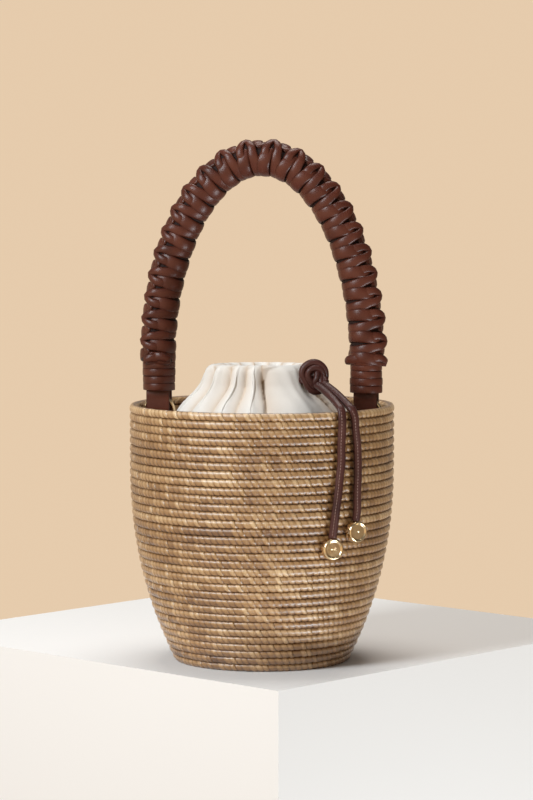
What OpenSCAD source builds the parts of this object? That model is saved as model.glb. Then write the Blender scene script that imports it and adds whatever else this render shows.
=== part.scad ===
// Bucket bag: a coiled basket with a cotton drawstring pouch and a braided leather handle.
// Millimetres, +Z up. The origin is the centre of the foot, on the surface that the basket stands on.
// The handle arches over the mouth in the XZ plane, and the drawstring knot sits at the front right.

/* [Basket] */
// Radius of the basket at its widest, near the rim
basket_r = 100; // [95:1:110]
// How much smaller the radius is at the foot
foot_taper = 34; // [25:1:40]
// Height at which the wall has reached its full radius
shoulder_z = 150; // [120:1:170]
// How strongly the wall rounds in towards the foot
wall_curve = 2.2; // [1.5:0.1:3]
// Height of the basket at the rim
basket_h = 194; // [190:1:196]
// Thickness of one coil, which is the wall's thickness
coil_d = 6.2; // [5:0.1:6.4]

/* [Pouch] */
// Thickness of the cotton
cotton_t = 1.2; // [0.8:0.1:2]
// Height at which the pouch leaves the wall
yoke_z = 125; // [110:1:130]
// Height of the seam between the yoke and the neck
neck_z = 170; // [165:1:172]
// Radius of the neck at that seam
neck_r = 64; // [60:0.5:65]
// Radius of the neck where its gathers tighten
gather_r = 57.5; // [56:0.5:59]
// Height where its gathers tighten
gather_z = 203; // [200:0.5:205]
// Radius of the drawstring channel's centre line
channel_r = 34; // [30:0.5:36]
// Height of the channel's centre line
channel_z = 219; // [216:0.5:222]
// Radius of the channel outside
channel_out = 4.8; // [4.4:0.1:5.2]
// Radius of the channel inside
channel_in = 3.4; // [3.2:0.1:3.8]

/* [Drawstring] */
// Diameter of the stitched leather cord
cord_d = 6; // [4:0.1:6]
// Radius of the knot
knot_r = 11; // [8:0.5:11]
// Radius of the gold bead on each end
bead_r = 7.8; // [5:0.1:8]
// Thickness of a bead
bead_t = 7; // [4:0.1:7]

/* [Handle] */
// Half the distance between the handle's legs
leg_x = 79.5; // [78:0.1:80]
// Height at which the legs start to lean in
spring_z = 225; // [215:1:240]
// Rise of the arch's centre line above that height
arch_rise = 153; // [140:1:165]
// Radius of the braid
braid_r = 15; // [12:0.5:15]
// Radius of the rope core inside the braid
core_r = 8; // [6:0.5:9]
// Radius of the bound ends
wrap_r = 12.4; // [11.5:0.1:12.4]
// Width of one turn of the binding lace
lace_w = 5.6; // [5:0.1:6]
// Number of turns in each binding
wrap_turns = 5; // [4:1:6]
// Height at which the bindings start
wrap_z = 203.2; // [203:0.1:205]
// Width of the strap that loops round the ring
strap_w = 18; // [14:0.5:18]
// Thickness of the strap's leather
strap_t = 2; // [1.5:0.1:2.5]

/* [Rings and anchors] */
// Radius of a ring to the middle of its wire
ring_r = 11.25; // [11:0.05:11.3]
// Diameter of the ring's wire
wire_d = 3; // [2:0.1:3]
// Height of the rings' centres
ring_z = 187; // [186:0.5:188]
// Width of the leather loop that holds a ring
anchor_w = 10; // [8:0.5:10]
// Thickness of the anchor's leather
anchor_t = 2.2; // [1.5:0.1:2.4]

/* [Hidden] */
$fn = 96;
gap = 0.3;                                   // space between pieces that touch
rim_z = basket_h - coil_d;                   // underside of the rim's coil
foot_r = basket_r - foot_taper;
strap_gap = 7;                               // space between the strap's two plies
strap_turn_z = 189.5;                        // centre of the strap's bottom fold
ring_pivot_z = 176.3;                        // the rings swing in their anchors here
bore_r = 2.4;                                // inside of an anchor's loop
web_z = 160;                                 // bottom of an anchor's web
patch_z = [140, 171];                        // a patch's bottom and top
patch_w = 20;
patch_x = 90.5;                              // inner face of a patch
stitch = [0.4, 0.9, 4];                      // one stitch on a patch
stitch_rows = 5;
wrap_top = wrap_z + wrap_turns * lace_w;
stem_r = wrap_r - 2;                         // leather plug inside a binding
braid_z = wrap_top + gap;
knot_at = [45.5, -39.5, 218];
knot_angle = -41;
left_bead_at = [65.7, -77.2, 94];
right_bead_at = [81.2, -62.6, 105.5];

// Routes of the two free tails, from the knot over the rim and down the wall
left_route = [
    [50, -49, 212], [57, -56, 208], [64, -63, 203], [69, -69, 198.5], [71.5, -72.5, 195.5],
    [72.5, -74, 190], [72.5, -74, 182], [72, -74.5, 170], [72, -74.5, 158], [71, -75.5, 146],
    [70, -76.5, 134], [68.5, -77, 122], [67, -77, 110], [66, -77, 102.2]
];
right_route = [
    [54, -45, 213], [62, -52, 208.5], [69.5, -58, 203], [75, -62.5, 198.5], [78.5, -65.5, 195.5],
    [80.5, -65.5, 190], [81, -65, 182], [82, -63.5, 170], [82.5, -63, 158], [82.5, -63, 146],
    [82, -63, 134], [82, -62.5, 122], [81, -62.5, 113.7]
];

// Outer radius of the basket at a height
function wall_r(z) = basket_r - foot_taper * pow(max(0, 1 - z / shoulder_z), wall_curve);
// Heights from low to high in equal steps
function heights(low, high, steps) = [for (i = [0:steps]) low + (high - low) * i / steps];
function reversed(list) = [for (i = [len(list) - 1:-1:0]) list[i]];
// Points of the basket's profile, set in by an amount
function profile(low, high, steps, inset) = [for (z = heights(low, high, steps)) [wall_r(z) - inset, z]];
// Closed outline between two insets of the profile
function shell(low, high, steps, outer, inner) =
    concat(profile(low, high, steps, outer), reversed(profile(low, high, steps, inner)));

// Direction at one point of a route, between its neighbours
function unit(v) = v / norm(v);
function heading(path, i) = unit(path[min(i + 1, len(path) - 1)] - path[max(i - 1, 0)]);
// Points of a tube's ring at one point of a route
function ring_points(path, i, r, sides) =
    let (d = heading(path, i), u = unit(cross(d, abs(d[1]) < 0.9 ? [0, 1, 0] : [1, 0, 0])), v = cross(d, u))
    [for (k = [0:sides - 1]) path[i] + r * (cos(360 * k / sides) * u + sin(360 * k / sides) * v)];

// A tube swept along a route
module sweep(path, r, sides) {
    last = (len(path) - 1) * sides;
    points = [for (i = [0:len(path) - 1]) each ring_points(path, i, r, sides)];
    walls = [for (i = [0:len(path) - 2], k = [0:sides - 1])
        let (a = i * sides + k, b = i * sides + (k + 1) % sides) each [[a, b + sides, b], [a, a + sides, b + sides]]];
    caps = [[for (k = [0:sides - 1]) k], [for (k = [sides - 1:-1:0]) last + k]];
    polyhedron(points = points, faces = concat(walls, caps), convexity = 6);
}

// Centre line of the handle: most of half an ellipse, whose ends stand upright on the bindings
arch_steps = 42;
arch_start = asin((braid_z + 3 - spring_z) / arch_rise);
handle_route = concat(
    [[-leg_x * cos(arch_start), 0, braid_z]],
    [for (i = [0:arch_steps]) let (a = 180 - arch_start - (180 - 2 * arch_start) * i / arch_steps)
        [leg_x * cos(a), 0, spring_z + arch_rise * sin(a)]],
    [[leg_x * cos(arch_start), 0, braid_z]]
);

module basket_base() {
    color("tan") cylinder(h = coil_d, r = foot_r - coil_d - gap);
}

module basket_wall() {
    color("tan") rotate_extrude() polygon(shell(0, rim_z - gap / 2, 16, 0, coil_d));
}

module basket_rim() {
    color("tan") rotate_extrude()
        translate([basket_r - coil_d / 2, basket_h - coil_d / 2]) circle(d = coil_d, $fn = 32);
}

module pouch_floor() {
    color("white") translate([0, 0, coil_d + gap])
        cylinder(h = cotton_t, r = wall_r(coil_d) - coil_d - 2 * gap - cotton_t);
}

module pouch_body() {
    outer = coil_d + gap;
    color("white") rotate_extrude()
        polygon(shell(coil_d + 2 * gap + cotton_t, yoke_z, 12, outer, outer + cotton_t));
}

module pouch_yoke() {
    foot = wall_r(yoke_z) - coil_d - gap;
    color("white") rotate_extrude() polygon([
        [foot, yoke_z + gap / 2], [neck_r + cotton_t, neck_z], [neck_r, neck_z],
        [foot - cotton_t, yoke_z + gap / 2]
    ]);
}

// Outline of a thin cotton wall of revolution, from its outer points
function cotton(outside) = concat(outside, [for (i = [len(outside) - 1:-1:0])
    outside[i] - [cotton_t + gap, i == 0 ? 0 : gap]]);

module pouch_neck() {
    color("white") rotate_extrude() polygon(cotton([
        [neck_r + cotton_t, neck_z + gap / 2], [63.5, 185], [62, 194], [gather_r, gather_z - gap]
    ]));
}

// The neck closes in to the channel, which is open at the front where the cord comes out
module pouch_gather() {
    color("white") difference() {
        rotate_extrude() difference() {
            union() {
                polygon(cotton([[gather_r, gather_z], [49.5, 212], [40, channel_z]]));
                translate([channel_r, channel_z]) circle(r = channel_out, $fn = 32);
            }
            translate([channel_r, channel_z]) circle(r = channel_in, $fn = 32);
        }
        rotate([0, 0, knot_angle]) translate([channel_r, -cord_d, channel_z - channel_in])
            cube([2 * channel_out, 2 * cord_d, 2 * channel_in]);
    }
}

module drawstring() {
    color("saddlebrown") rotate_extrude()
        translate([channel_r, channel_z]) circle(d = cord_d, $fn = 24);
}

module knot() {
    color("saddlebrown") translate(knot_at) sphere(r = knot_r, $fn = 48);
}

module tail(route) {
    color("saddlebrown") sweep(route, cord_d / 2, 8);
}

module bead(at) {
    color("gold") translate(at) rotate([0, 0, atan2(at[1], at[0])]) rotate([0, 90, 0])
        rotate_extrude() polygon([
            [0, -bead_t / 2], [bead_r - 2.4, -bead_t / 2], [bead_r - 0.7, -bead_t / 3], [bead_r, 0],
            [bead_r - 0.7, bead_t / 3], [bead_r - 2.4, bead_t / 2], [0, bead_t / 2]
        ]);
}

module handle_core() {
    color("sienna") sweep(handle_route, core_r, 16);
}

module handle_braid() {
    color("sienna") difference() {
        sweep(handle_route, braid_r, 16);
        sweep(concat(
            [handle_route[0] - [0, 0, 1]], handle_route, [handle_route[len(handle_route) - 1] - [0, 0, 1]]
        ), core_r + gap, 16);
    }
}

// Turns of flat lace, each with a rounded edge, from the strap up to the braid
module binding(side) {
    edge = 0.8;
    turns = [for (i = [0:wrap_turns - 1]) let (z = wrap_z + i * lace_w) each [
        [wrap_r - edge, z], [wrap_r, z + edge], [wrap_r, z + lace_w - edge], [wrap_r - edge, z + lace_w]
    ]];
    color("sienna") translate([side * leg_x, 0, 0]) rotate_extrude()
        polygon(concat([[stem_r + gap, wrap_z]], turns, [[stem_r + gap, wrap_top]]));
}

// A strap folded round its ring, with its ends rolled into the plug that the binding holds
module strap(side) {
    half = strap_gap / 2;
    color("sienna") translate([side * leg_x, 0, 0]) {
        translate([-strap_w / 2, 0, 0]) rotate([90, 0, 90]) linear_extrude(strap_w) difference() {
            union() {
                translate([0, strap_turn_z]) circle(r = half + strap_t);
                translate([-half - strap_t, strap_turn_z])
                    square([strap_gap + 2 * strap_t, wrap_z - strap_turn_z]);
            }
            translate([0, strap_turn_z]) circle(r = half);
            translate([-half, strap_turn_z]) square([strap_gap, wrap_z - strap_turn_z - gap]);
        }
        translate([0, 0, wrap_z - gap]) cylinder(h = wrap_top - wrap_z + gap, r = stem_r);
    }
}

module ring(side) {
    color("gold") translate([side * leg_x, 0, ring_z]) rotate([90, 0, 0])
        rotate_extrude() translate([ring_r, 0]) circle(d = wire_d, $fn = 32);
}

// A leather loop round the ring's foot, on a web that runs out to the patch on the wall
module anchor(side) {
    outer = bore_r + anchor_t;
    color("sienna") mirror([side < 0 ? 1 : 0, 0, 0]) difference() {
        union() {
            translate([leg_x - anchor_w / 2, 0, ring_pivot_z]) rotate([0, 90, 0]) cylinder(h = anchor_w, r = outer);
            translate([leg_x - anchor_w / 2, -anchor_t, web_z])
                cube([patch_x - gap / 3 - leg_x + anchor_w / 2, 2 * anchor_t, ring_pivot_z - outer - web_z + 1]);
        }
        translate([leg_x - anchor_w, 0, ring_pivot_z]) rotate([0, 90, 0]) cylinder(h = 2 * anchor_w, r = bore_r);
    }
}

module patch(side) {
    color("sienna") mirror([side < 0 ? 1 : 0, 0, 0]) translate([patch_x, -patch_w / 2, patch_z[0]])
        cube([anchor_t + 0.2, patch_w, patch_z[1] - patch_z[0]]);
}

// Two columns of stitches beside the web
module stitching(side) {
    pitch = (patch_z[1] - patch_z[0] - 4) / stitch_rows;
    color("wheat") mirror([side < 0 ? 1 : 0, 0, 0]) for (y = [-1, 1], i = [0:stitch_rows - 1])
        translate([patch_x - gap / 3 - stitch[0], y * (patch_w / 2 - 2) - stitch[1] / 2, patch_z[0] + 2 + i * pitch])
            cube(stitch);
}

module left_tail() { tail(left_route); }
module right_tail() { tail(right_route); }
module left_bead() { bead(left_bead_at); }
module right_bead() { bead(right_bead_at); }
module left_binding() { binding(-1); }
module right_binding() { binding(1); }
module left_strap() { strap(-1); }
module right_strap() { strap(1); }
module left_ring() { ring(-1); }
module right_ring() { ring(1); }
module left_anchor() { anchor(-1); }
module right_anchor() { anchor(1); }
module left_patch() { patch(-1); }
module right_patch() { patch(1); }
module left_stitching() { stitching(-1); }
module right_stitching() { stitching(1); }

basket_base();
basket_wall();
basket_rim();
pouch_floor();
pouch_body();
pouch_yoke();
pouch_neck();
pouch_gather();
drawstring();
knot();
left_tail();
right_tail();
left_bead();
right_bead();
handle_core();
handle_braid();
left_binding();
right_binding();
left_strap();
right_strap();
left_ring();
right_ring();
left_anchor();
right_anchor();
left_patch();
right_patch();
left_stitching();
right_stitching();
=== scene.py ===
"""Looks of the bucket bag: coiled basket, gathered cotton pouch, braided leather handle, knotted ties."""
import math

import bpy
import numpy as np
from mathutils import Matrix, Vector


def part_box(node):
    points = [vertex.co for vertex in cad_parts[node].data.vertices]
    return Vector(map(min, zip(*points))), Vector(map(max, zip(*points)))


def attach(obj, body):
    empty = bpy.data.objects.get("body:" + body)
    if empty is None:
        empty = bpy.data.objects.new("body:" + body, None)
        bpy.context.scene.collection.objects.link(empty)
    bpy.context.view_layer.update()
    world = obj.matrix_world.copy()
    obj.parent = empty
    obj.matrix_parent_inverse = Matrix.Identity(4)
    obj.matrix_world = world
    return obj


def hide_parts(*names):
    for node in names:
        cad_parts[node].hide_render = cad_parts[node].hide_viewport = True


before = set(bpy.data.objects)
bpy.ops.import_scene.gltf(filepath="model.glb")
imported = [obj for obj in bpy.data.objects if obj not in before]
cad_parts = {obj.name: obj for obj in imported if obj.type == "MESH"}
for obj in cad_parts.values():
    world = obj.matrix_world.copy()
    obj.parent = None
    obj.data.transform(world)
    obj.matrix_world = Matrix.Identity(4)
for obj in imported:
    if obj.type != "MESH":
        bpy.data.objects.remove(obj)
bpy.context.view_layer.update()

MM = 0.001

# ---------------------------------------------------------------- sizes taken from the frame
BASKET_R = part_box("basket_wall")[1].x
BASKET_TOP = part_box("basket_rim")[1].z
LEG_X = (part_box("right_binding")[0].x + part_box("right_binding")[1].x) / 2
BINDING_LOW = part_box("right_binding")[0].z
BINDING_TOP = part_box("right_binding")[1].z
BRAID_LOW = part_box("handle_braid")[0].z
ARCH_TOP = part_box("handle_core")[1].z - 8 * MM
KNOT_AT = np.array((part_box("knot")[0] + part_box("knot")[1]) / 2)

# ---------------------------------------------------------------- design sizes not in the frame
FOOT_TAPER = 34 * MM
SHOULDER_Z = 150 * MM
WALL_CURVE = 2.2
COIL_D = 6.2 * MM
SPRING_Z = 225 * MM
# The beads are drawn a little wider than in CAD, and turned a little to the front
BEAD_SPREAD = 1.05
BEAD_TURN = math.radians(8)

# ---------------------------------------------------------------- camera
VIEW_AZIMUTH = math.radians(10)
CAMERA_DISTANCE = 2.27
CAMERA_HEIGHT = 0.370
AIM_HEIGHT = 0.1965
AIM_RIGHT = 3.4 * MM
FOCAL_PIXELS = 3010
FRAME_HEIGHT_PIXELS = 800
RIGHT = np.array([math.cos(VIEW_AZIMUTH), math.sin(VIEW_AZIMUTH), 0])
TOWARDS = np.array([math.sin(VIEW_AZIMUTH), -math.cos(VIEW_AZIMUTH), 0])
UP = np.array([0, 0, 1.0])
FRONT_ANGLE = math.degrees(VIEW_AZIMUTH) - 90


def look_at(obj, target):
    """Turns obj so that its -Z axis points at target."""
    obj.rotation_euler = (Vector(target) - obj.location).to_track_quat("-Z", "Y").to_euler()


def make_camera():
    data = bpy.data.cameras.new("camera")
    data.sensor_width = 36
    data.lens = FOCAL_PIXELS * data.sensor_width / FRAME_HEIGHT_PIXELS
    camera = bpy.data.objects.new("camera", data)
    bpy.context.scene.collection.objects.link(camera)
    aim = RIGHT * AIM_RIGHT + UP * AIM_HEIGHT
    camera.location = RIGHT * AIM_RIGHT + TOWARDS * CAMERA_DISTANCE + UP * CAMERA_HEIGHT
    look_at(camera, aim)
    bpy.context.scene.camera = camera


# ---------------------------------------------------------------- materials
class Nodes:
    """One material and its node tree."""

    def __init__(self, name):
        self.material = bpy.data.materials.new(name)
        self.material.use_nodes = True
        self.tree = self.material.node_tree
        self.shader = self.tree.nodes["Principled BSDF"]

    def add(self, kind, **settings):
        node = self.tree.nodes.new(kind)
        for key, value in settings.items():
            if key in node.inputs:
                node.inputs[key].default_value = value
            else:
                setattr(node, key, value)
        return node

    def link(self, source, target):
        self.tree.links.new(source, target)

    def set(self, **values):
        for key, value in values.items():
            self.shader.inputs[key.replace("_", " ")].default_value = value

    def ramp(self, source, stops):
        node = self.add("ShaderNodeValToRGB")
        elements = node.color_ramp.elements
        while len(elements) < len(stops):
            elements.new(0.5)
        for element, (place, colour) in zip(elements, stops):
            element.position = place
            element.color = (*colour, 1)
        self.link(source, node.inputs["Fac"])
        return node.outputs["Color"]

    def noise(self, scale, detail=4.0, roughness=0.6, stretch=(1, 1, 1)):
        place = self.add("ShaderNodeTexCoord")
        mapping = self.add("ShaderNodeMapping", Scale=stretch)
        self.link(place.outputs["Object"], mapping.inputs["Vector"])
        node = self.add("ShaderNodeTexNoise", Scale=scale, Detail=detail, Roughness=roughness)
        self.link(mapping.outputs["Vector"], node.inputs["Vector"])
        return node.outputs["Fac"]

    def math(self, operation, a, b):
        node = self.add("ShaderNodeMath", operation=operation)
        for socket, value in zip(node.inputs, (a, b)):
            if isinstance(value, (int, float)):
                socket.default_value = value
            else:
                self.link(value, socket)
        return node.outputs["Value"]

    def mix(self, factor, a, b, blend="MIX"):
        node = self.add("ShaderNodeMix", data_type="RGBA", blend_type=blend)
        for socket, value in ((node.inputs[0], factor), (node.inputs[6], a), (node.inputs[7], b)):
            if isinstance(value, (int, float)):
                socket.default_value = value
            elif isinstance(value, tuple):
                socket.default_value = (*value, 1)
            else:
                self.link(value, socket)
        return node.outputs[2]

    def bump(self, height, strength, distance):
        node = self.add("ShaderNodeBump", Strength=strength, Distance=distance)
        self.link(height, node.inputs["Height"])
        self.link(node.outputs["Normal"], self.shader.inputs["Normal"])


def grass_material():
    m = Nodes("coiled_grass")
    # The tone brings the coils' painted shade and painted highlight, and each stitch's own tone.
    tone = m.add("ShaderNodeAttribute", attribute_name="tone").outputs["Fac"]
    streaks = m.noise(1500, 3, 0.7, (1, 1, 0.16))
    patches = m.noise(28, 3, 0.6)
    value = m.math("ADD", tone, m.math("MULTIPLY", m.math("SUBTRACT", streaks, 0.5), 0.42))
    value = m.math("ADD", value, m.math("MULTIPLY", m.math("SUBTRACT", patches, 0.5), 0.3))
    colour = m.ramp(value, [(0.03, (0.036, 0.010, 0.003)), (0.34, (0.175, 0.072, 0.019)),
                            (0.58, (0.37, 0.195, 0.068)), (0.92, (0.78, 0.55, 0.30))])
    m.link(colour, m.shader.inputs["Base Color"])
    m.set(Roughness=0.34, Specular_IOR_Level=1.0, Coat_Weight=0.8, Coat_Roughness=0.38)
    m.bump(streaks, 0.55, 0.0006)
    return m.material


def cotton_material():
    m = Nodes("cotton")
    warp = m.noise(2600, 2, 0.5, (1, 1, 0.2))
    weft = m.noise(2600, 2, 0.5, (0.25, 0.25, 1))
    weave = m.math("MAXIMUM", warp, weft)
    soft = m.noise(60, 4, 0.6)
    colour = m.mix(m.math("MULTIPLY", soft, 0.6), (0.79, 0.755, 0.71), (0.71, 0.66, 0.60))
    # Painted shade: the cloth is mixed towards a warm brown in the creases between the gathers.
    fold = m.add("ShaderNodeAttribute", attribute_name="tone").outputs["Fac"]
    crease_shade = m.math("POWER", m.math("SUBTRACT", 1.0, fold), 1.6)
    colour = m.mix(m.math("MULTIPLY", crease_shade, 0.85), colour, (0.58, 0.42, 0.28))
    m.link(colour, m.shader.inputs["Base Color"])
    m.set(Roughness=0.88, Sheen_Weight=0.25, Sheen_Roughness=0.5, Specular_IOR_Level=0.2)
    m.bump(weave, 0.35, 0.0004)
    return m.material


def leather_material(name, deep, mid, light, roughness):
    m = Nodes(name)
    grain = m.noise(900, 5, 0.65)
    clouds = m.noise(55, 3, 0.55)
    # Painted shade: where the tone is low the leather is mixed towards a dark brown, for the shade at
    # lace and strap edges, between the hitches and inside the binding.
    painted_shade_tone = m.add("ShaderNodeAttribute", attribute_name="tone").outputs["Fac"]
    colour = m.ramp(clouds, [(0.25, deep), (0.5, mid), (0.8, light)])
    colour = m.mix(m.math("MULTIPLY", m.math("SUBTRACT", 1.0, painted_shade_tone), 0.75), colour,
                   tuple(0.25 * c for c in deep))
    m.link(colour, m.shader.inputs["Base Color"])
    spread = m.math("ADD", roughness - 0.08, m.math("MULTIPLY", grain, 0.18))
    m.link(spread, m.shader.inputs["Roughness"])
    m.set(Specular_IOR_Level=0.3)
    m.bump(grain, 0.22, 0.0005)
    return m.material


def gold_material():
    m = Nodes("gold_metal")
    smudge = m.noise(160, 4, 0.6)
    colour = m.ramp(smudge, [(0.2, (0.80, 0.58, 0.32)), (0.8, (0.94, 0.77, 0.51))])
    m.link(colour, m.shader.inputs["Base Color"])
    m.link(m.math("ADD", 0.12, m.math("MULTIPLY", smudge, 0.14)), m.shader.inputs["Roughness"])
    m.set(Metallic=1.0)
    m.bump(m.noise(420, 3, 0.5), 0.12, 0.0004)
    return m.material


def thread_material(name, colour):
    m = Nodes(name)
    twist = m.noise(3000, 2, 0.5, (1, 1, 0.4))
    dark = tuple(0.55 * c for c in colour)
    m.link(m.ramp(twist, [(0.3, dark), (0.7, colour)]), m.shader.inputs["Base Color"])
    m.set(Roughness=0.7)
    m.bump(twist, 0.5, 0.0003)
    return m.material


# ---------------------------------------------------------------- mesh helpers
def build(name, vertices, faces, material, smooth=True, tone=None):
    """A mesh object with one material. tone is a value at each point that the material reads."""
    mesh = bpy.data.meshes.new(name)
    mesh.from_pydata([tuple(v) for v in vertices], [], faces)
    mesh.validate()
    mesh.polygons.foreach_set("use_smooth", [smooth] * len(mesh.polygons))
    attribute = mesh.attributes.new("tone", "FLOAT", "POINT")
    values = np.ones(len(vertices)) if tone is None else np.asarray(tone)
    attribute.data.foreach_set("value", values.astype(np.float32))
    mesh.materials.append(material)
    mesh.update()
    obj = bpy.data.objects.new(name, mesh)
    bpy.context.scene.collection.objects.link(obj)
    return obj


def grid_faces(rows, columns, closed_rows=False, start=0):
    """Quads between rings of points. closed_rows joins the last ring to the first."""
    faces = []
    for i in range(rows if closed_rows else rows - 1):
        a = start + i * columns
        b = start + (i + 1) % rows * columns
        for j in range(columns):
            k = (j + 1) % columns
            faces.append((a + j, a + k, b + k, b + j))
    return faces


def cap_faces(rows, columns, start=0):
    """The faces that close a tube at its first ring and its last."""
    first = tuple(start + j for j in reversed(range(columns)))
    last = tuple(start + (rows - 1) * columns + j for j in range(columns))
    return [first, last]


def distances(points):
    """How far along a line each of its points lies."""
    return np.concatenate([[0], np.cumsum(np.linalg.norm(np.diff(points, axis=0), axis=1))])


def read_off(at, along, values):
    """The rows of values, whose distances are in along, read off at other distances."""
    return np.column_stack([np.interp(at, along, values[:, k]) for k in range(values.shape[1])])


def curve_through(points, count):
    """Evenly spaced points on a smooth curve through the given points.

    Columns after the third are carried along and don't count in the spacing.
    """
    p = np.asarray(points, float)
    padded = np.vstack([2 * p[0] - p[1], p, 2 * p[-1] - p[-2]])
    steps = 24
    t = np.linspace(0, 1, steps, endpoint=False)[:, None]
    dense = []
    for a, b, c, d in zip(padded, padded[1:], padded[2:], padded[3:]):
        dense.append(0.5 * (2 * b + (c - a) * t + (2 * a - 5 * b + 4 * c - d) * t ** 2
                            + (3 * b - a - 3 * c + d) * t ** 3))
    dense = np.vstack(dense + [p[-1:]])
    along = distances(dense[:, :3])
    return read_off(np.linspace(0, along[-1], count), along, dense)


def unit(v):
    return v / np.maximum(np.linalg.norm(v, axis=-1, keepdims=True), 1e-12)


def section(width, thickness, count, squareness=1.0):
    """Cross-section as (across, out) pairs: an ellipse, or squarer where squareness is under 1."""
    a = np.arange(count) * 2 * math.pi / count
    x = np.sign(np.cos(a)) * np.abs(np.cos(a)) ** squareness * width / 2
    y = np.sign(np.sin(a)) * np.abs(np.sin(a)) ** squareness * thickness / 2
    return np.column_stack([x, y])


def sweep(path, normals, sections):
    """Rings of points: each section is laid across the path, with its second axis along the normal."""
    tangents = unit(np.gradient(path, axis=0))
    normals = unit(normals - (normals * tangents).sum(1, keepdims=True) * tangents)
    sides = np.cross(tangents, normals)
    return path[:, None] + sections[..., :1] * sides[:, None] + sections[..., 1:] * normals[:, None]


def tube_object(name, path, normals, sections, material, tone=None):
    """A closed tube along the path."""
    rings = sweep(path, normals, sections)
    rows, columns = rings.shape[:2]
    faces = grid_faces(rows, columns) + cap_faces(rows, columns)
    return build(name, rings.reshape(-1, 3), faces, material, tone=tone)


# ---------------------------------------------------------------- basket
def wall_radius(z):
    return BASKET_R - FOOT_TAPER * np.maximum(0, 1 - z / SHOULDER_Z) ** WALL_CURVE


WALL_PITCH = 5.98 * MM
BASE_PITCH = 5.9 * MM
STITCH = 4.7 * MM
# Where each stitch's rings of points lie, in shares of a stitch, and the share of the groove there
STITCH_PLACES = (0, 0.17, 0.5, 0.83)
STITCH_GROOVE = (1, 0.15, 0, 0.15)
STITCH_START = math.radians(FRONT_ANGLE - 12)
STITCH_SLANT = 0.55
STITCH_STEP = 0.08
KNUCKLE = 0.20 * MM
WAVER = 0.12 * MM
COIL_SIDES = 11


def coil_row(radius, height, outward, index):
    """One coil of the basket: a closed ring wrapped in slanted stitches. outward is (dr, dz).

    Each stitch is a few rings of points. own is what makes each stitch a little different.
    """
    stitches = max(6, round(2 * math.pi * radius / STITCH))
    turn = np.linspace(-math.pi, math.pi, COIL_SIDES, endpoint=False)
    around = turn - 0.35 * np.sin(turn)
    places = np.array(STITCH_PLACES)
    t = (np.arange(stitches)[:, None] + places[None]).reshape(-1, 1)
    row_rng = np.random.default_rng(100 + index)
    own = np.repeat(row_rng.normal(0, 1, stitches), len(places))[:, None]
    slant = -STITCH_SLANT * np.sin(around / 2)[None]
    shift = STITCH_STEP * index + row_rng.uniform(-0.12, 0.12)
    theta = STITCH_START + (t + slant + shift + 0.075 * own) * 2 * math.pi / stitches
    groove = np.tile(np.array(STITCH_GROOVE), stitches)[:, None]
    low_side = np.clip(0.42 - 0.62 * np.sin(around)[None], 0, 1)
    depth = (0.06 + 0.46 * low_side) * MM
    knuckle = np.exp(-((around[None] - 0.95) / 0.4) ** 2) * (1 - groove)
    swell = 0.05 * MM * own
    r = COIL_D / 2 * 1.02 - depth * groove + KNUCKLE * knuckle + swell
    flat = np.sign(np.cos(around)) * np.abs(np.cos(around)) ** 0.72
    across = flat[None] * r
    along = np.sin(around)[None] * r
    n_r, n_z = outward
    rho = radius + across * n_r - along * n_z
    z = height + across * n_z + along * n_r + WAVER * np.sin(3 * theta + index)
    points = np.stack([rho * np.cos(theta), rho * np.sin(theta), z], axis=2)
    # Painted light in the tone: painted shade in the grooves between stitches, more on each coil's lower
    # side, and in the seams where coils meet; a painted highlight on each stitch's knuckle. own and the
    # row's random number give each stitch and row its own tone.
    seam_shade = np.abs(np.sin(around))[None] ** 8
    tone = 0.56 - 0.42 * groove * (0.25 + 0.75 * low_side) - 0.45 * seam_shade
    tone = tone + 0.055 * own + 0.26 * knuckle + 0.05 * row_rng.normal()
    return points.reshape(-1, 3), tone.reshape(-1), stitches * len(places)


def coil_stack(name, coils, material):
    """One mesh of several coils. Each coil is the arguments of coil_row."""
    vertices, tones, faces, start = [], [], [], 0
    for coil in coils:
        points, tone, rows = coil_row(*coil)
        faces += grid_faces(rows, COIL_SIDES, closed_rows=True, start=start)
        vertices.append(points)
        tones.append(tone)
        start += len(points)
    return build(name, np.vstack(vertices), faces, material, tone=np.concatenate(tones))


def wall_line():
    """Centre line of the wall's coils from the foot to the rim, as (r, z)."""
    inset = COIL_D / 2
    z = np.linspace(inset, BASKET_TOP - inset, 400)
    return np.column_stack([wall_radius(z) - inset, z])


def foundation(wall, grass):
    """The grass inside the coils, painted at the darkest tone, which shows as a line of painted shade
    between them.
    """
    columns = 180
    theta = np.arange(columns) * 2 * math.pi / columns
    line = np.vstack([[(0.001, wall[0, 1]), (wall[0, 0] * 0.6, wall[0, 1])], wall[::12]])
    points = [np.column_stack([r * np.cos(theta), r * np.sin(theta), 0 * theta + z]) for r, z in line]
    # Painted shade: the darkest grass tone, for the shade between the coils.
    dark = np.full(len(line) * columns, 0.02)
    faces = grid_faces(len(line), columns)
    return build("basket_foundation", np.vstack(points), faces, grass, tone=dark)


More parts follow.
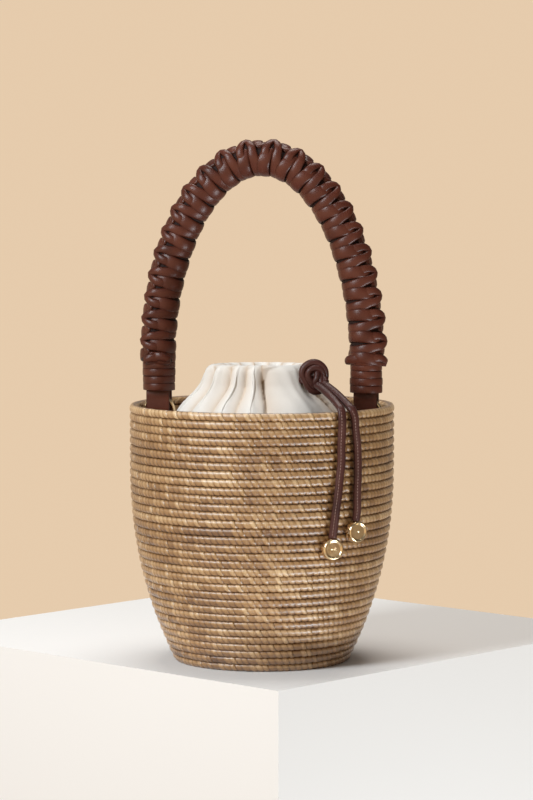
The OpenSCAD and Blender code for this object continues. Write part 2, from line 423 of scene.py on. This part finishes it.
def basket(grass):
    wall = wall_line()
    along = distances(wall)
    count = round(along[-1] / WALL_PITCH)
    wall_coils = []
    for i in range(count + 1):
        at = along[-1] * i / count
        behind, (r, z), ahead = read_off([at - MM, at, at + MM], along, wall)
        slope = unit(ahead - behind)
        wall_coils.append((r, z, (slope[1], -slope[0]), i))
    foot = wall_coils[0][0] - BASE_PITCH
    rows = round(foot / BASE_PITCH)
    base_coils = [(foot * (i + 0.55) / (rows - 0.45), COIL_D / 2, (0.02, -1), 60 + i)
                  for i in range(rows)]
    base = coil_stack("basket_base_coils", base_coils, grass)
    body = coil_stack("basket_wall_coils", wall_coils[:-1], grass)
    rim = coil_stack("basket_rim_coil", wall_coils[-1:], grass)
    heart = foundation(wall, grass)
    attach(heart, "root")
    for piece, node in ((base, "basket_base"), (body, "basket_wall"), (rim, "basket_rim")):
        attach(piece, "root")
        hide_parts(node)


# ---------------------------------------------------------------- pouch
NECK_PATH = [  # radius, height, depth of the gathers, all in millimetres
    (65.0, 170.2, 0.6), (65.5, 178, 2.6), (64.0, 186, 5.2), (58.0, 194, 7.6), (50.5, 201, 9.4),
    (45.0, 207.5, 9.6), (42.4, 214, 8.0), (40.4, 219.0, 6.2), (37.2, 222.2, 4.8), (33.0, 223.0, 4.0),
    (29.5, 220.6, 3.6), (27.5, 216, 3.4), (27.5, 210, 3.0)]
# The creases between the gathers, in degrees from the front
CREASES = [-66, -36, -17, 0, 64, 84, 106, 126, 149, 171, 192, 214, 233, 252, 273]
NECK_ROWS = 70
NECK_COLUMNS = 540
NECK_CLOTH = 0.9 * MM
BAG_CLOTH = 0.8 * MM
# The drawstring's room in the channel, where the cloth stays outside it
STRING_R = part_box("drawstring")[1].x + 1.2 * MM
STRING_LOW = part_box("drawstring")[0].z - 3 * MM
STRING_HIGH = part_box("drawstring")[1].z + 1 * MM


def pouch_neck(cotton):
    """The gathered neck and top: each row is a ring of lobes, with a crease between each two."""
    path = curve_through(np.array(NECK_PATH) * MM, NECK_ROWS)
    rng = np.random.default_rng(11)
    edges = np.array(CREASES, float)
    theta = np.linspace(edges[0], edges[0] + 360, NECK_COLUMNS, endpoint=False)
    wander = rng.uniform(0, 2 * math.pi, len(edges))
    sharp = rng.uniform(0.38, 0.6, len(edges))
    share = rng.uniform(0.8, 1.2, len(edges))
    points = np.zeros((NECK_ROWS, NECK_COLUMNS, 3))
    tone = np.zeros((NECK_ROWS, NECK_COLUMNS))
    for i, (q, (r, z, gather)) in enumerate(zip(np.linspace(0, 1, NECK_ROWS), path)):
        moved = edges + 2.6 * np.sin(5.0 * q + wander) * np.sin(math.pi * min(1, q * 1.4))
        moved = np.append(moved, moved[0] + 360)
        at = (theta - moved[0]) % 360 + moved[0]
        k = np.clip(np.searchsorted(moved, at, side="right") - 1, 0, len(edges) - 1)
        width = moved[k + 1] - moved[k]
        f = np.clip((at - moved[k]) / width, 0, 1)
        lobe = np.maximum(np.sin(math.pi * f), 0) ** sharp[k]
        size = np.clip(width / 24, 0.55, 1.25) * share[k]
        radius = r + gather * size * (lobe - 0.72)
        crumple = 0.25 * MM * np.sin(9 * f * math.pi + 11 * q + k) * np.sin(math.pi * q)
        radius = radius + crumple
        if STRING_LOW < z < STRING_HIGH and r > 36 * MM:
            radius = np.maximum(radius, STRING_R)
        lean = 0.05 * gather / (6 * MM) * np.sin(2 * math.pi * f)
        angle = np.radians(at + FRONT_ANGLE) + lean
        points[i, :, 0] = radius * np.cos(angle)
        points[i, :, 1] = radius * np.sin(angle)
        outside = np.clip((z - 203 * MM) / (16 * MM), 0, 1) * np.clip((r - 35 * MM) / (6 * MM), 0, 1)
        lift = 2.6 * MM * (lobe - 0.6) * size * outside
        tilt = 0.9 * MM * (np.cos(np.radians(at)) + 0.5) * min(1, q * 1.6)
        points[i, :, 2] = z + lift + tilt
        # The lobes' share, which the cotton darkens in the creases as painted shade.
        tone[i] = lobe
    faces = grid_faces(NECK_ROWS, NECK_COLUMNS)
    neck = build("pouch_neck_cloth", points.reshape(-1, 3), faces, cotton, tone=tone.reshape(-1))
    thicken(neck, NECK_CLOTH)
    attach(neck, "root")
    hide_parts("pouch_neck", "pouch_gather")


def thicken(obj, thickness):
    """Gives a one-layer cloth its thickness, half on each side."""
    solid = obj.modifiers.new("thickness", "SOLIDIFY")
    solid.thickness = thickness
    solid.offset = 0
    bpy.context.view_layer.update()
    graph = bpy.context.evaluated_depsgraph_get()
    mesh = bpy.data.meshes.new_from_object(obj.evaluated_get(graph))
    old = obj.data
    obj.modifiers.clear()
    obj.data = mesh
    bpy.data.meshes.remove(old)
    obj.data.polygons.foreach_set("use_smooth", [True] * len(obj.data.polygons))


def pouch_bag(cotton):
    """The part of the pouch below the neck: floor, body along the wall, and yoke."""
    inside = COIL_D + 1.0 * MM
    floor_z = 7.2 * MM
    yoke_r = 64.6 * MM
    yoke_z = 169.8 * MM
    body = [(wall_radius(z) - inside, z) for z in np.linspace(9 * MM, 125 * MM, 30)]
    line = [(body[0][0] * s, floor_z) for s in (0.02, 0.2, 0.4, 0.6, 0.8, 0.97)] + body
    top_r, top_z = body[-1]
    for s in np.linspace(0.1, 1, 9):
        line.append((top_r + (yoke_r - top_r) * s, top_z + (yoke_z - top_z) * s))
    columns = 240
    theta = np.linspace(0, 2 * math.pi, columns, endpoint=False)
    points = []
    for r, z in line:
        slack = max(0.0, z - 115 * MM) / (50 * MM)
        ripple = 1.1 * MM * slack * np.sin(11 * theta + 3 * math.sin(z * 60)) * np.sin(4 * theta + 1)
        radius = r - 0.5 * MM + ripple - slack * 1.2 * MM
        points.append(np.column_stack([radius * np.cos(theta), radius * np.sin(theta), 0 * theta + z]))
    faces = grid_faces(len(line), columns)
    bag = build("pouch_bag_cloth", np.vstack(points), faces, cotton)
    thicken(bag, BAG_CLOTH)
    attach(bag, "root")
    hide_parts("pouch_floor", "pouch_body", "pouch_yoke")


# ---------------------------------------------------------------- drawstring
THREAD_D = 0.42 * MM
THREAD_SIDES = 6
THREAD_PITCH = 2.3 * MM
# The tails' centre lines from the knot to the bead, in millimetres
LEFT_ROUTE = [
    (50, -49, 212), (57, -56, 208), (64, -63, 203), (69, -69, 198.5), (71.5, -72.5, 195.5),
    (72.5, -74, 190), (72.5, -74, 182), (72, -74.5, 170), (72, -74.5, 158), (71, -75.5, 146),
    (70, -76.5, 134), (68.5, -77, 122), (67, -77, 110), (66, -77, 102.2)]
RIGHT_ROUTE = [
    (54, -45, 213), (62, -52, 208.5), (69.5, -58, 203), (75, -62.5, 198.5), (78.5, -65.5, 195.5),
    (80.5, -65.5, 190), (81, -65, 182), (82, -63.5, 170), (82.5, -63, 158), (82.5, -63, 146),
    (82, -63, 134), (82, -62.5, 122), (81, -62.5, 113.7)]


def cord_section(count=16):
    """A cord a little flatter than round, with the groove that its stitches lie in."""
    a = np.arange(count) * 2 * math.pi / count
    groove = 0.55 * MM * np.exp(-((a - 0.9) / 0.22) ** 2)
    return np.column_stack([(3.25 * MM - groove) * np.cos(a), (2.7 * MM - groove) * np.sin(a)])


def make_tail(side, route, leather, thread):
    """One free end of the drawstring."""
    path = curve_through(np.array(route) * MM, 110)
    outward = unit(path * np.array([1, 1, 0]))
    sections = np.repeat(cord_section()[None], len(path), axis=0)
    tail = tube_object(f"{side}_tail_cord", path, outward, sections, leather)
    stitches = tail_stitches(side, path, outward, thread)
    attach(tail, f"{side}_tail")
    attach(stitches, f"{side}_tail")
    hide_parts(f"{side}_tail")


def tail_stitches(side, path, outward, thread):
    """Short threads that lie in the cord's groove."""
    tangents = unit(np.gradient(path, axis=0))
    level = outward - (outward * tangents).sum(1, keepdims=True) * tangents
    across = np.cross(tangents, unit(level))
    line = path + across * 1.72 * MM + outward * 1.95 * MM
    along = distances(line)
    bend = np.array([-0.25, 0.05, 0.05, -0.25])[:, None] * MM
    rows = len(bend)
    sections = np.repeat(section(THREAD_D, THREAD_D, THREAD_SIDES)[None], rows, axis=0)
    vertices, faces = [], []
    for start in np.arange(12 * MM, along[-1] - 3 * MM, THREAD_PITCH):
        at = np.linspace(start, start + 0.62 * THREAD_PITCH, rows)
        normals = read_off(at, along, outward)
        rings = sweep(read_off(at, along, line) + bend * normals, normals, sections)
        first = len(vertices)
        faces += grid_faces(rows, THREAD_SIDES, start=first) + cap_faces(rows, THREAD_SIDES, start=first)
        vertices += list(rings.reshape(-1, 3))
    return build(f"{side}_tail_stitches", vertices, faces, thread)


# The bead's outline from the middle of its face to the middle of its back: radius and depth, in mm
BEAD_OUTLINE = [
    (0, 2.5), (2.2, 2.55), (4.2, 2.5), (5.4, 2.55), (5.9, 3.2), (6.5, 3.45), (7.1, 3.1),
    (7.6, 2.0), (7.8, 0.6), (7.8, -0.6), (7.6, -2.0), (7.1, -3.1), (6.5, -3.45),
    (5.9, -3.2), (5.4, -2.55), (4.2, -2.5), (2.2, -2.55), (0, -2.5)]


def make_bead(side, gold):
    """A flat round bead with a raised rim and a faintly hammered face."""
    low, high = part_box(f"{side}_bead")
    centre = np.array((low + high) / 2)
    angle = math.atan2(centre[1], centre[0]) - BEAD_TURN
    facing = np.array([math.cos(angle), math.sin(angle), 0])
    across = np.array([-math.sin(angle), math.cos(angle), 0])
    line = curve_through(np.array(BEAD_OUTLINE) * MM, 64)
    columns = 56
    theta = np.arange(columns) * 2 * math.pi / columns
    r = line[:, :1] * BEAD_SPREAD
    depth = line[:, 1:]
    x = r * np.cos(theta)
    y = r * np.sin(theta)
    dents = np.sin(x * 3100 + 2 * np.sin(y * 2300)) * np.sin(y * 2900 + 1.5 * np.sin(x * 2100))
    face = np.clip((5.3 * MM - r) / (0.8 * MM), 0, 1)
    depth = depth + np.sign(depth) * 0.1 * MM * dents * face
    points = centre + x[..., None] * across + y[..., None] * UP + depth[..., None] * facing
    faces = grid_faces(len(line), columns)
    bead = build(f"{side}_gold_bead", points.reshape(-1, 3), faces, gold)
    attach(bead, f"{side}_tail")
    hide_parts(f"{side}_bead")
    return bead


# The knot's strands: across, up and towards the viewer, in millimetres from the knot's centre
KNOT_STRANDS = [
    [(8.8, -5.5, -3), (9.0, 0.5, -0.5), (7.6, 5.4, 1), (3.0, 9.3, 2), (-2.6, 9.6, 2.4),
     (-7.4, 6.2, 2.4), (-8.6, 1.0, 2.6), (-6.2, -4.0, 3), (-3.8, -8.6, 3), (0.8, -11.4, 2.2),
     (5.6, -10.4, 0.4), (8.4, -7.6, -3)],
    [(6.8, -4.6, -1), (6.8, 0.2, 1.6), (4.6, 4.6, 3.4), (0.2, 6.0, 4.4), (-3.8, 4.2, 4.8),
     (-5.0, 0.6, 4.6), (-3.2, -3.6, 4.6), (0.0, -7.4, 3.6), (4.0, -7.6, 1)],
    [(-2.2, 2.6, -1), (0.2, 4.6, 1.2), (2.0, 2.6, 3.4), (1.4, -1.2, 5.2), (0.2, -4.4, 5.0),
     (0.8, -7.0, 2.6)],
    [(3.8, 3.8, -1), (5.0, 1.0, 2.0), (4.6, -2.6, 4.6), (4.4, -6.6, 7.0), (4.2, -9.3, 9.2)],
    [(4.0, 1.4, 1.0), (6.4, -1.4, 3.4), (7.6, -4.4, 6.4)],
]
# The two leads into the channel: how far to the side each lies, then how far back and how low
LEAD_SHIFTS = (-0.5, 4.5)
LEAD_LINE = ((3, 1), (8, 3.5), (14, 4.5), (20, 2.0), (26, -1.0))
KNOT_THICKNESS = [5.6, 5.0, 5.2, 5.4, 5.4, 5.2, 5.2]


def make_knot(leather):
    """An overhand knot of the two cords together, with the leads that run back into the channel."""
    vertices, faces = [], []
    columns = 14
    samples = 60
    out = unit(TOWARDS * 0.9 + RIGHT * 0.25)
    strands = [KNOT_AT + np.array([RIGHT * x + UP * y + out * z for x, y, z in strand]) * MM
               for strand in KNOT_STRANDS]
    back = -unit(KNOT_AT * np.array([1, 1, 0]))
    for shift in LEAD_SHIFTS:
        side = np.cross(back, UP) * shift * MM
        lead = [KNOT_AT + side + back * d * MM - UP * drop * MM for d, drop in LEAD_LINE]
        strands.append(np.array(lead))
    a = np.arange(columns) * 2 * math.pi / columns
    ridge = 1 - 0.10 * np.exp(-((a - 1.2) / 0.25) ** 2) - 0.10 * np.exp(-((a - 2.2) / 0.25) ** 2)
    normals = np.repeat(out[None], samples, axis=0)
    for points, thickness in zip(strands, KNOT_THICKNESS):
        ring = np.column_stack([np.cos(a) * ridge, np.sin(a) * ridge]) * thickness / 2 * MM
        rings = sweep(curve_through(points, samples), normals, np.repeat(ring[None], samples, axis=0))
        start = len(vertices)
        faces += grid_faces(samples, columns, start=start) + cap_faces(samples, columns, start=start)
        vertices += list(rings.reshape(-1, 3))
    knot = build("overhand_knot", vertices, faces, leather)
    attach(knot, "root")
    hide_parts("knot")
    return knot


# ---------------------------------------------------------------- handle
BRAID_R = 11.0 * MM
REPEATS = 24
RIDGE_TURN = 8
RIDGE_TWIST = 44
FIRST_HITCH = 0.12
LOOP_MIDDLE = 0.24
BINDING_TURNS = 5
STRAP_WIDTH = 18 * MM
STRAP_PLY = 1.9 * MM
ROLL_D = 21.4 * MM
# One hitch of the lace: the angle from the ridge, the place in repeats, and in millimetres the
# height above the braid, the width and the thickness. It loops over the ridge, then goes round.
HITCH = np.array([
    (62, 0.03, -1.4, 7.0, 2.0), (42, 0.00, 0.9, 7.0, 2.5), (16, 0.03, 2.9, 6.0, 2.8),
    (-8, 0.24, 3.8, 5.0, 3.2), (16, 0.46, 3.1, 6.0, 2.8), (40, 0.50, 1.5, 7.2, 2.3),
    (62, 0.55, 0.6, 8.0, 2.1), (90, 0.60, 0.2, 8.6, 2.0), (130, 0.66, 0.2, 8.6, 2.0),
    (180, 0.57, 0.3, 8.4, 2.0), (230, 0.47, 0.8, 8.8, 2.0), (270, 0.47, 1.4, 9.5, 2.0),
    (300, 0.53, 2.0, 9.5, 2.0), (325, 0.61, 2.1, 8.8, 2.0), (346, 0.68, 1.4, 7.5, 2.0),
    (372, 0.74, 0.0, 6.0, 2.0)])
# The back hitches lie this much lower, point by point
LOWER = [0.2, 1.5, 2.7, 3.1, 2.7, 1.4, 0.4, 0, 0, 0, 0, 0.2, 0.9, 1.2, 0.5, 0]
BACK_HITCH = HITCH - np.outer(LOWER, [0, 0, 1, 0, 0])
# A plain turn of lace at each end of the braid
END_WRAP = np.array([(a, 0.0, 0.5, 8.0, 2.0) for a in range(-6, 376, 30)])
END_PLACES = (0.22, 0.66, REPEATS - 0.86, REPEATS - 0.42)
# How much a degree counts beside the other columns when a hitch's points are spaced
DEGREE = 0.012


def ridge_angle(s, length):
    """The ridge of the hitches turns towards the front along the handle, most at its left foot."""
    return RIDGE_TURN + RIDGE_TWIST * np.clip(1 - s / length, 0, 1) ** 1.2


def arch_line():
    """The handle's centre line from the braid's left foot to its right foot, and its distances."""
    t = np.linspace(0, math.pi, 1200)
    rise = ARCH_TOP - SPRING_Z
    leg = np.linspace(BRAID_LOW, SPRING_Z, 60, endpoint=False)
    x = np.concatenate([-LEG_X + 0 * leg, -LEG_X * np.cos(t), LEG_X + 0 * leg])
    z = np.concatenate([leg, SPRING_Z + rise * np.sin(t), leg[::-1]])
    line = np.column_stack([x, 0 * x, z])
    return line, distances(line)


def arch_frames(s):
    """Points and outward directions of the centre line at distances s, also past its ends."""
    line, along = arch_line()
    centre = read_off(s, along, line)
    slope = unit(read_off(s, along, np.gradient(line, along, axis=0)))
    outward = np.column_stack([-slope[:, 2], 0 * s, slope[:, 0]])
    over = s - np.clip(s, 0, along[-1])
    return centre + slope * over[:, None], outward


def lace_points(angle, s, height):
    """Points of a lace at an angle from the handle's outer side, at distances s, above the braid."""
    centre, outward = arch_frames(s)
    a = np.radians(angle)[:, None]
    direction = outward * np.cos(a) + np.array([[0, -1.0, 0]]) * np.sin(a)
    return centre + direction * (BRAID_R + height[:, None]), direction


def handle_braid(leather, gap_shade):
    """Two rows of hitches, wound in opposite ways, whose loops alternate along one ridge."""
    length = arch_line()[1][-1]
    repeat = length / (REPEATS - 0.2)
    rng = np.random.default_rng(3)
    vertices, faces, tones = [], [], []
    columns, samples = 12, 72
    flat = section(1, 1, columns, 0.62)
    edge_shade = np.abs(2 * flat[:, 0]) ** 4
    ends = [(END_WRAP, 1, at) for at in END_PLACES]
    hitches = [(BACK_HITCH, -1, n / 2 + FIRST_HITCH) if n % 2 else (HITCH, 1, n / 2 + FIRST_HITCH)
               for n in range(2 * REPEATS - 1)]
    for table, way, offset in ends + hitches:
        keys = curve_through(table * np.array([DEGREE, 1, 1, 1, 1]), samples)
        angle = way * keys[:, 0] / DEGREE
        s = (offset + keys[:, 1] + rng.uniform(-0.02, 0.02)) * repeat
        height = (keys[:, 2] + rng.uniform(-0.15, 0.15)) * MM
        path, normals = lace_points(angle + ridge_angle(s, length), s, height)
        sizes = keys[:, 3:] * MM * rng.uniform(0.96, 1.04)
        sections = flat[None] * sizes[:, None]
        sections[..., 1] += 0.45 * MM * (1 - (2 * flat[None, :, 0]) ** 2)
        rings = sweep(path, normals, sections)
        start = len(vertices)
        faces += grid_faces(samples, columns, start=start) + cap_faces(samples, columns, start=start)
        vertices += list(rings.reshape(-1, 3))
        # Painted shade: laces that dip below the braid come out darker, and each lace darker along its
        # edges, where it meets the next.
        sunk_shade = np.clip(1.1 + height / MM * 0.5, 0.2, 1)
        tones += list((sunk_shade[:, None] * (1 - 0.6 * edge_shade[None])).reshape(-1))
    braid = build("handle_braid_lace", vertices, faces, leather, tone=tones)
    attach(braid, "handle")
    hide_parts("handle_braid")
    under = braid_ground(gap_shade, length, repeat)
    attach(under, "handle")


def braid_ground(leather, length, repeat):
    """The inner layer of lace that shows between the hitches, painted dark as the shade in the gaps."""
    s = np.linspace(MM, length - MM, 500)
    centre, outward = arch_frames(s)
    count = 32
    sections = np.repeat(section(1, 1, count)[None], len(s), axis=0)
    around = np.degrees(np.arctan2(sections[..., 0], sections[..., 1]))
    around = around - ridge_angle(s, length)[:, None]
    around = (around + 180) % 360 - 180
    phase = 2 * math.pi * (s / repeat - FIRST_HITCH - LOOP_MIDDLE)
    bump = (1.2 + 2.4 * (0.5 + 0.5 * np.cos(phase)) ** 1.5) * MM
    bump = bump[:, None] * np.exp(-(around / 28) ** 2)
    sections = sections * 2 * (BRAID_R + bump)[..., None]
    # Painted shade: the layer is drawn at a low tone, darker than its dark leather.
    dark = np.full(len(s) * count, 0.15)
    return tube_object("handle_braid_ground", centre, outward, sections, leather, dark)


def handle_binding(side, leather):
    """Flat lace wound round the leg, each turn lapping the one below."""
    node = f"{side}_binding"
    low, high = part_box(node)
    centre = np.array([(low.x + high.x) / 2, 0, 0])
    rng = np.random.default_rng(21 if side == "left" else 22)
    vertices, faces, tones = [], [], []
    pitch = (high.z - low.z) / BINDING_TURNS
    columns, samples = 12, 90
    angle = np.linspace(0, 2 * math.pi, samples, endpoint=False)
    normals = np.column_stack([np.cos(angle), np.sin(angle), 0 * angle])
    flat = section(1, 1, columns, 0.35)
    edge_shade = np.abs(2 * flat[:, 0]) ** 6
    lace = flat * np.array([pitch * 1.02, 2.0 * MM])
    lace[:, 1] += 0.05 * MM * (1 - (2 * flat[:, 0]) ** 2)
    for turn in range(BINDING_TURNS):
        tilt = rng.uniform(-0.35, 0.35) * MM
        phase = rng.uniform(0, 6)
        z = low.z + (turn + 0.5) * pitch + tilt * np.sin(angle + phase)
        r = 11.2 * MM + rng.uniform(-0.15, 0.2) * MM + 0.15 * MM * np.sin(2 * angle + phase)
        middle = centre + np.column_stack([r * np.cos(angle), r * np.sin(angle), z])
        rings = middle[:, None] + lace[None, :, :1] * UP + lace[None, :, 1:] * normals[:, None]
        faces += grid_faces(samples, columns, closed_rows=True, start=len(vertices))
        vertices += list(rings.reshape(-1, 3))
        # Painted shade: each turn darker along its edges, where it laps the next.
        tones += list(np.tile(1 - 0.6 * edge_shade, samples))
    binding = build(f"{side}_binding_lace", vertices, faces, leather, tone=tones)
    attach(binding, "handle")
    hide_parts(node)


def handle_strap(side, leather):
    """The strap folded round its ring: one flat band down, round and up again."""
    low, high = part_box(f"{side}_strap")
    x = (low.x + high.x) / 2
    bend_r = 4.55 * MM
    fold_z = low.z + bend_r + 1.0 * MM
    top_z = BINDING_LOW + 6 * MM
    down = [(-bend_r * 0.75, top_z), (-bend_r, BINDING_LOW - 2 * MM),
            (-bend_r, (BINDING_LOW + fold_z) / 2)]
    bend = [(-bend_r * math.cos(a), fold_z - bend_r * math.sin(a)) for a in np.linspace(0, math.pi, 9)]
    up = [(-y, z) for y, z in reversed(down)]
    line = curve_through([(x, y, z) for y, z in down + bend + up], 80)
    inward = np.array([[x, 0, fold_z]]) - line
    inward[:, 2] = np.where(line[:, 2] > fold_z, 0, inward[:, 2])
    flat = section(STRAP_WIDTH, STRAP_PLY, 16, 0.28)
    sections = np.repeat(flat[None], len(line), axis=0)
    # Painted shade: the strap's sides are drawn darker.
    edge_shade = np.abs(flat[:, 0]) > STRAP_WIDTH / 2 - 0.4 * MM
    tone = np.tile(1 - 0.45 * edge_shade, len(line))
    band = tube_object(f"{side}_strap_band", line, -inward, sections, leather, tone)
    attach(band, "handle")
    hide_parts(f"{side}_strap")
    roll = strap_roll(side, x, leather)
    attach(roll, "handle")


def strap_roll(side, x, leather):
    """The rolled strap ends inside the binding."""
    z = np.linspace(BINDING_LOW + 0.8 * MM, BINDING_TOP + 1 * MM, 12)
    path = np.column_stack([0 * z + x, 0 * z, z])
    columns = 24
    sections = np.repeat(section(ROLL_D, ROLL_D, columns)[None], len(z), axis=0)
    normals = np.repeat(np.array([[0, -1.0, 0]]), len(z), axis=0)
    # Painted shade: the roll inside the binding is drawn at a low tone.
    tone = np.full(len(z) * columns, 0.4)
    return tube_object(f"{side}_strap_roll", path, normals, sections, leather, tone)


# ---------------------------------------------------------------- CAD pieces that stay
def dress(node, material):
    """Gives a CAD piece its material, and shades the rings smooth."""
    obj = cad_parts[node]
    obj.data.materials.clear()
    obj.data.materials.append(material)
    obj.data.polygons.foreach_set("material_index", [0] * len(obj.data.polygons))
    if "ring" in node.split("_"):
        obj.data.polygons.foreach_set("use_smooth", [True] * len(obj.data.polygons))


# ---------------------------------------------------------------- stage
BLOCK_HALF = 0.2
BLOCK_DROP = 0.6
BLOCK_TOP = -0.0002
BLOCK_TURN = VIEW_AZIMUTH + math.radians(47)
BLOCK_MIDDLE = TOWARDS * -0.135 + RIGHT * 0.002


def area_light(name, place, target, size, power, colour):
    data = bpy.data.lights.new(name, "AREA")
    data.shape = "RECTANGLE"
    data.size, data.size_y = size
    data.energy = power
    data.color = colour
    light = bpy.data.objects.new(name, data)
    light.location = place
    bpy.context.scene.collection.objects.link(light)
    look_at(light, target)


def make_stage():
    """The bag stands on a square block with one corner towards the camera."""
    plain = Nodes("pale_floor")
    plain.set(Roughness=0.9)
    colour = plain.mix(plain.noise(3, 2, 0.5), (0.87, 0.845, 0.82), (0.89, 0.87, 0.85))
    plain.link(colour, plain.shader.inputs["Base Color"])
    h = BLOCK_HALF
    cos, sin = math.cos(BLOCK_TURN), math.sin(BLOCK_TURN)
    vertices = [(x * cos - y * sin + BLOCK_MIDDLE[0], x * sin + y * cos + BLOCK_MIDDLE[1], z)
                for z in (BLOCK_TOP, -BLOCK_DROP)
                for x, y in ((-h, -h), (h, -h), (h, h), (-h, h))]
    faces = [(0, 1, 2, 3), (0, 4, 5, 1), (1, 5, 6, 2), (2, 6, 7, 3), (3, 7, 4, 0)]
    floor = build("floor_block", vertices, faces, plain.material, smooth=False)
    make_world()
    bpy.context.scene.view_settings.view_transform = "Standard"
    centre = UP * 0.2
    cool = (0.92, 1.0, 1.06)
    warm = (1.0, 0.97, 0.93)
    key_at = centre + TOWARDS * 1.15 - RIGHT * 1.1 + UP * 0.85
    fill_at = centre + TOWARDS * 1.0 + RIGHT * 1.2 - UP * 1.2
    top_at = centre + UP * 1.4 - TOWARDS * 0.3
    area_light("key", key_at, centre, (0.5, 0.8), 26.5, cool)
    area_light("fill", fill_at, centre - UP * 0.5, (0.7, 0.5), 26, cool)
    area_light("top", top_at, centre, (0.9, 0.9), 15, warm)


def make_world():
    """A warm wall at eye level, a pale room below and a dim one above, all dimmer on the right."""
    world = bpy.data.worlds.new("studio")
    world.use_nodes = True
    tree = world.node_tree
    place = tree.nodes.new("ShaderNodeTexCoord")
    split = tree.nodes.new("ShaderNodeSeparateXYZ")
    half = tree.nodes.new("ShaderNodeMapRange")
    half.inputs["From Min"].default_value = -1
    ramp = tree.nodes.new("ShaderNodeValToRGB")
    wall = (0.79, 0.60, 0.415, 1)
    room = (0.46, 0.445, 0.42, 1)
    ceiling = (0.22, 0.215, 0.205, 1)
    bands = ((0.20, room), (0.32, wall), (0.55, wall), (0.64, ceiling))
    elements = ramp.color_ramp.elements
    while len(elements) < len(bands):
        elements.new(0.5)
    for element, (at, colour) in zip(elements, bands):
        element.position = at
        element.color = colour
    tree.links.new(place.outputs["Generated"], split.inputs["Vector"])
    tree.links.new(split.outputs["Z"], half.inputs["Value"])
    tree.links.new(half.outputs["Result"], ramp.inputs["Fac"])
    tree.links.new(ramp.outputs["Color"], tree.nodes["Background"].inputs["Color"])
    side = tree.nodes.new("ShaderNodeVectorMath")
    side.operation = "DOT_PRODUCT"
    side.inputs[1].default_value = RIGHT
    shade = tree.nodes.new("ShaderNodeMapRange")
    for socket, value in (("From Min", 0.2), ("From Max", 0.75), ("To Min", 1), ("To Max", 0.36)):
        shade.inputs[socket].default_value = value
    tree.links.new(place.outputs["Generated"], side.inputs[0])
    tree.links.new(side.outputs["Value"], shade.inputs["Value"])
    tree.links.new(shade.outputs["Result"], tree.nodes["Background"].inputs["Strength"])
    bpy.context.scene.world = world


def main():
    make_camera()
    grass = grass_material()
    cotton = cotton_material()
    cord_leather = leather_material("cord_leather", (0.036, 0.011, 0.009), (0.062, 0.019, 0.015),
                                    (0.090, 0.031, 0.024), 0.36)
    handle_leather = leather_material("handle_leather", (0.052, 0.012, 0.006), (0.086, 0.021, 0.011),
                                      (0.116, 0.032, 0.017), 0.34)
    # A much darker copy of the handle leather, as painted shade in the gaps of the braid.
    gap_shade_leather = leather_material("gap_shade_leather", (0.020, 0.005, 0.003), (0.034, 0.008, 0.005),
                                      (0.046, 0.012, 0.008), 0.75)
    gold = gold_material()
    thread = thread_material("thread", (0.46, 0.29, 0.24))
    rope = thread_material("rope_core", (0.45, 0.33, 0.2))
    beads = {side: make_bead(side, gold) for side in ("left", "right")}
    knot = make_knot(cord_leather)
    make_tail("left", LEFT_ROUTE, cord_leather, thread)
    make_tail("right", RIGHT_ROUTE, cord_leather, thread)
    basket(grass)
    pouch_bag(cotton)
    pouch_neck(cotton)
    handle_braid(handle_leather, gap_shade_leather)
    for side in ("left", "right"):
        handle_binding(side, handle_leather)
        handle_strap(side, handle_leather)
        dress(f"{side}_ring", gold)
        dress(f"{side}_anchor", handle_leather)
        dress(f"{side}_patch", handle_leather)
        dress(f"{side}_stitching", thread)
    dress("handle_core", rope)
    dress("drawstring", cord_leather)
    make_stage()


main()
